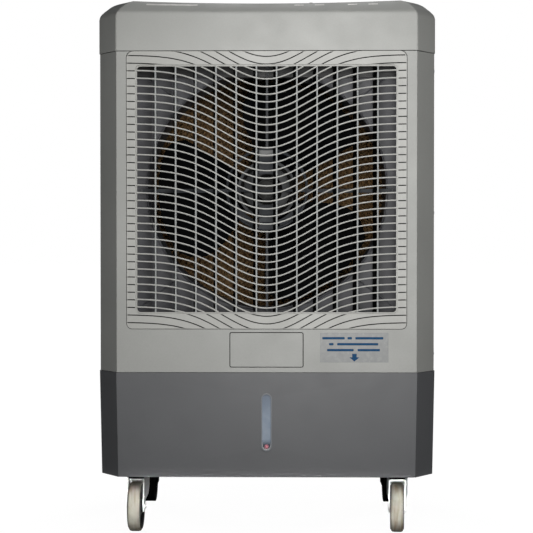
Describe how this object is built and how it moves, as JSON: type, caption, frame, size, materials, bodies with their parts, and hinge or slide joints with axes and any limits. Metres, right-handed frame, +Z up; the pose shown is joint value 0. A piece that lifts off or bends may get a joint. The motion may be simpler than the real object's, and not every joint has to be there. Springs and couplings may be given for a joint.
{
  "type": "evaporative cooler",
  "caption": "Upright portable evaporative cooler on casters, with a wave-pattern grille, swing louvres, a ducted fan, a rear pad frame and a water tank below.",
  "frame": {"origin": "on the floor under the middle of the cooler", "axes": "+X to the right seen from the front, +Y to the rear, +Z up"},
  "size_m": [0.61, 0.42, 0.968],
  "materials": {
    "light_grey_plastic": "fine satin",
    "dark_grey_plastic": "satin",
    "black_plastic": "satin",
    "inner_grey_plastic": "satin",
    "zinc_plate": "bright zinc",
    "motor_paint": "semi-gloss grey",
    "grey_rubber": "worn matt",
    "clear_plastic": "clear, slightly blue",
    "red_plastic": "gloss",
    "cellulose_pad": "corrugated paper",
    "white_plastic": "satin"
  },
  "bodies": {
    "cabinet": {"water_tank": "dark_grey_plastic", "top_cover": "light_grey_plastic", "control_panel": "dark_grey_plastic", "front_panel": "light_grey_plastic", "front_badge": "light_grey_plastic", "front_grille": "light_grey_plastic", "side_panel_left": "light_grey_plastic", "side_panel_right": "light_grey_plastic", "grip_cup_left": "dark_grey_plastic", "grip_cup_right": "dark_grey_plastic", "base_deck": "inner_grey_plastic", "sight_glass": "clear_plastic", "float_valve": "white_plastic", "pump": "black_plastic", "pump_hose": "white_plastic", "water_distributor": "white_plastic", "fan_shroud": "inner_grey_plastic", "motor_bracket": "motor_paint", "fan_motor": "motor_paint", "louvre_rail_low": "inner_grey_plastic", "louvre_rail_high": "inner_grey_plastic", "louvre_motor": "white_plastic", "caster_plate_left": "black_plastic", "caster_plate_right": "black_plastic", "rear_fork_left": "black_plastic", "rear_fork_right": "black_plastic"},
    "fan": {"fan_impeller": "black_plastic", "motor_shaft": "zinc_plate"},
    "louvre_01": {"louvre_01": "black_plastic"},
    "louvre_02": {"louvre_02": "black_plastic"},
    "louvre_03": {"louvre_03": "black_plastic"},
    "louvre_04": {"louvre_04": "black_plastic"},
    "louvre_05": {"louvre_05": "black_plastic"},
    "louvre_06": {"louvre_06": "black_plastic"},
    "louvre_07": {"louvre_07": "black_plastic"},
    "louvre_08": {"louvre_08": "black_plastic"},
    "louvre_09": {"louvre_09": "black_plastic"},
    "louvre_10": {"louvre_10": "black_plastic"},
    "louvre_11": {"louvre_11": "black_plastic"},
    "louvre_12": {"louvre_12": "black_plastic"},
    "louvre_link": {"louvre_link": "black_plastic"},
    "louvre_crank": {"louvre_crank": "white_plastic"},
    "speed_knob": {"speed_knob": "white_plastic"},
    "pump_knob": {"pump_knob": "white_plastic"},
    "swing_knob": {"swing_knob": "white_plastic"},
    "level_float": {"level_float": "red_plastic"},
    "float_arm": {"float_arm": "white_plastic"},
    "fill_door": {"fill_door": "dark_grey_plastic"},
    "drain_plug": {"drain_plug": "black_plastic"},
    "storage_door": {"storage_door": "dark_grey_plastic"},
    "pad_frame": {"rear_frame": "light_grey_plastic", "cooling_pad": "cellulose_pad"},
    "caster_left": {"caster_fork_left": "zinc_plate", "caster_axle_left": "zinc_plate"},
    "caster_wheel_left": {"caster_wheel_left": "grey_rubber"},
    "rear_wheel_left": {"rear_wheel_left": "black_plastic"},
    "caster_right": {"caster_fork_right": "zinc_plate", "caster_axle_right": "zinc_plate"},
    "caster_wheel_right": {"caster_wheel_right": "grey_rubber"},
    "rear_wheel_right": {"rear_wheel_right": "black_plastic"}
  },
  "joints": [
    {"name": "fan_spin", "type": "hinge", "parent": "cabinet", "child": "fan", "pos_m": [0, -0.062, 0.627], "axis": [0, 1, 0], "continuous": true},
    {"name": "louvre_01_swing", "type": "hinge", "parent": "cabinet", "child": "louvre_01", "pos_m": [-0.1991, -0.195, 0.6255], "axis": [0, 0, 1], "range_deg": [-41, 19]},
    {"name": "louvre_02_swing", "type": "hinge", "parent": "cabinet", "child": "louvre_02", "pos_m": [-0.1629, -0.195, 0.6255], "axis": [0, 0, 1], "range_deg": [-41, 19]},
    {"name": "louvre_03_swing", "type": "hinge", "parent": "cabinet", "child": "louvre_03", "pos_m": [-0.1267, -0.195, 0.6255], "axis": [0, 0, 1], "range_deg": [-41, 19]},
    {"name": "louvre_04_swing", "type": "hinge", "parent": "cabinet", "child": "louvre_04", "pos_m": [-0.0905, -0.195, 0.6255], "axis": [0, 0, 1], "range_deg": [-41, 19]},
    {"name": "louvre_05_swing", "type": "hinge", "parent": "cabinet", "child": "louvre_05", "pos_m": [-0.0543, -0.195, 0.6255], "axis": [0, 0, 1], "range_deg": [-41, 19]},
    {"name": "louvre_06_swing", "type": "hinge", "parent": "cabinet", "child": "louvre_06", "pos_m": [-0.0181, -0.195, 0.6255], "axis": [0, 0, 1], "range_deg": [-41, 19]},
    {"name": "louvre_07_swing", "type": "hinge", "parent": "cabinet", "child": "louvre_07", "pos_m": [0.0181, -0.195, 0.6255], "axis": [0, 0, 1], "range_deg": [-41, 19]},
    {"name": "louvre_08_swing", "type": "hinge", "parent": "cabinet", "child": "louvre_08", "pos_m": [0.0543, -0.195, 0.6255], "axis": [0, 0, 1], "range_deg": [-41, 19]},
    {"name": "louvre_09_swing", "type": "hinge", "parent": "cabinet", "child": "louvre_09", "pos_m": [0.0905, -0.195, 0.6255], "axis": [0, 0, 1], "range_deg": [-41, 19]},
    {"name": "louvre_10_swing", "type": "hinge", "parent": "cabinet", "child": "louvre_10", "pos_m": [0.1267, -0.195, 0.6255], "axis": [0, 0, 1], "range_deg": [-41, 19]},
    {"name": "louvre_11_swing", "type": "hinge", "parent": "cabinet", "child": "louvre_11", "pos_m": [0.1629, -0.195, 0.6255], "axis": [0, 0, 1], "range_deg": [-41, 19]},
    {"name": "louvre_12_swing", "type": "hinge", "parent": "cabinet", "child": "louvre_12", "pos_m": [0.1991, -0.195, 0.6255], "axis": [0, 0, 1], "range_deg": [-41, 19]},
    {"name": "louvre_link_pivot", "type": "hinge", "parent": "louvre_01", "child": "louvre_link", "pos_m": [-0.20416, -0.16899, 0.3945], "axis": [0, 0, 1], "range_deg": [-19, 41]},
    {"name": "crank_spin", "type": "hinge", "parent": "cabinet", "child": "louvre_crank", "pos_m": [0.055, -0.16899, 0.385], "axis": [0, 0, 1], "continuous": true},
    {"name": "speed_knob_turn", "type": "hinge", "parent": "cabinet", "child": "speed_knob", "pos_m": [0.08, -0.158, 0.9505], "axis": [0, 0, 1], "range_deg": [-270, 0]},
    {"name": "pump_knob_turn", "type": "hinge", "parent": "cabinet", "child": "pump_knob", "pos_m": [0.13, -0.158, 0.9505], "axis": [0, 0, 1], "range_deg": [-90, 0]},
    {"name": "swing_knob_turn", "type": "hinge", "parent": "cabinet", "child": "swing_knob", "pos_m": [0.18, -0.158, 0.9505], "axis": [0, 0, 1], "range_deg": [-90, 0]},
    {"name": "level_float_rise", "type": "slide", "parent": "cabinet", "child": "level_float", "axis": [0, 0, 1], "range_m": [0, 0.088]},
    {"name": "float_arm_lift", "type": "hinge", "parent": "cabinet", "child": "float_arm", "pos_m": [-0.26478, 0.16984, 0.251], "axis": [-0.6194, -0.7851, 0], "range_deg": [0, 40]},
    {"name": "fill_door_hinge", "type": "hinge", "parent": "cabinet", "child": "fill_door", "pos_m": [0.3021, 0, 0.2228], "axis": [0, 1, 0], "range_deg": [0, 70]},
    {"name": "drain_plug_pull", "type": "slide", "parent": "cabinet", "child": "drain_plug", "axis": [0.7851, 0.6194, 0], "range_m": [0, 0.025]},
    {"name": "storage_door_hinge", "type": "hinge", "parent": "cabinet", "child": "storage_door", "pos_m": [0, 0.0465, 0.1102], "axis": [1, 0, 0], "range_deg": [0, 85]},
    {"name": "pad_frame_pull", "type": "slide", "parent": "cabinet", "child": "pad_frame", "axis": [0, 1, 0], "range_m": [0, 0.12]},
    {"name": "caster_swivel_left", "type": "hinge", "parent": "cabinet", "child": "caster_left", "pos_m": [-0.2408, -0.122, 0.1], "axis": [0, 0, 1], "continuous": true},
    {"name": "caster_wheel_spin_left", "type": "hinge", "parent": "caster_left", "child": "caster_wheel_left", "pos_m": [-0.2408, -0.15, 0.045], "axis": [1, 0, 0], "continuous": true},
    {"name": "rear_wheel_spin_left", "type": "hinge", "parent": "cabinet", "child": "rear_wheel_left", "pos_m": [-0.2453, 0.154, 0.045], "axis": [1, 0, 0], "continuous": true},
    {"name": "caster_swivel_right", "type": "hinge", "parent": "cabinet", "child": "caster_right", "pos_m": [0.2408, -0.122, 0.1], "axis": [0, 0, 1], "continuous": true},
    {"name": "caster_wheel_spin_right", "type": "hinge", "parent": "caster_right", "child": "caster_wheel_right", "pos_m": [0.2386, -0.14991, 0.045], "axis": [0.9969, -0.0785, 0], "continuous": true},
    {"name": "rear_wheel_spin_right", "type": "hinge", "parent": "cabinet", "child": "rear_wheel_right", "pos_m": [0.2453, 0.154, 0.045], "axis": [1, 0, 0], "continuous": true}
  ],
  "couplings": [
    {"joint": "louvre_02_swing", "follows": "louvre_01_swing", "ratio": 1},
    {"joint": "louvre_03_swing", "follows": "louvre_01_swing", "ratio": 1},
    {"joint": "louvre_04_swing", "follows": "louvre_01_swing", "ratio": 1},
    {"joint": "louvre_05_swing", "follows": "louvre_01_swing", "ratio": 1},
    {"joint": "louvre_06_swing", "follows": "louvre_01_swing", "ratio": 1},
    {"joint": "louvre_07_swing", "follows": "louvre_01_swing", "ratio": 1},
    {"joint": "louvre_08_swing", "follows": "louvre_01_swing", "ratio": 1},
    {"joint": "louvre_09_swing", "follows": "louvre_01_swing", "ratio": 1},
    {"joint": "louvre_10_swing", "follows": "louvre_01_swing", "ratio": 1},
    {"joint": "louvre_11_swing", "follows": "louvre_01_swing", "ratio": 1},
    {"joint": "louvre_12_swing", "follows": "louvre_01_swing", "ratio": 1},
    {"joint": "louvre_link_pivot", "follows": "louvre_01_swing", "ratio": -1}
  ]
}
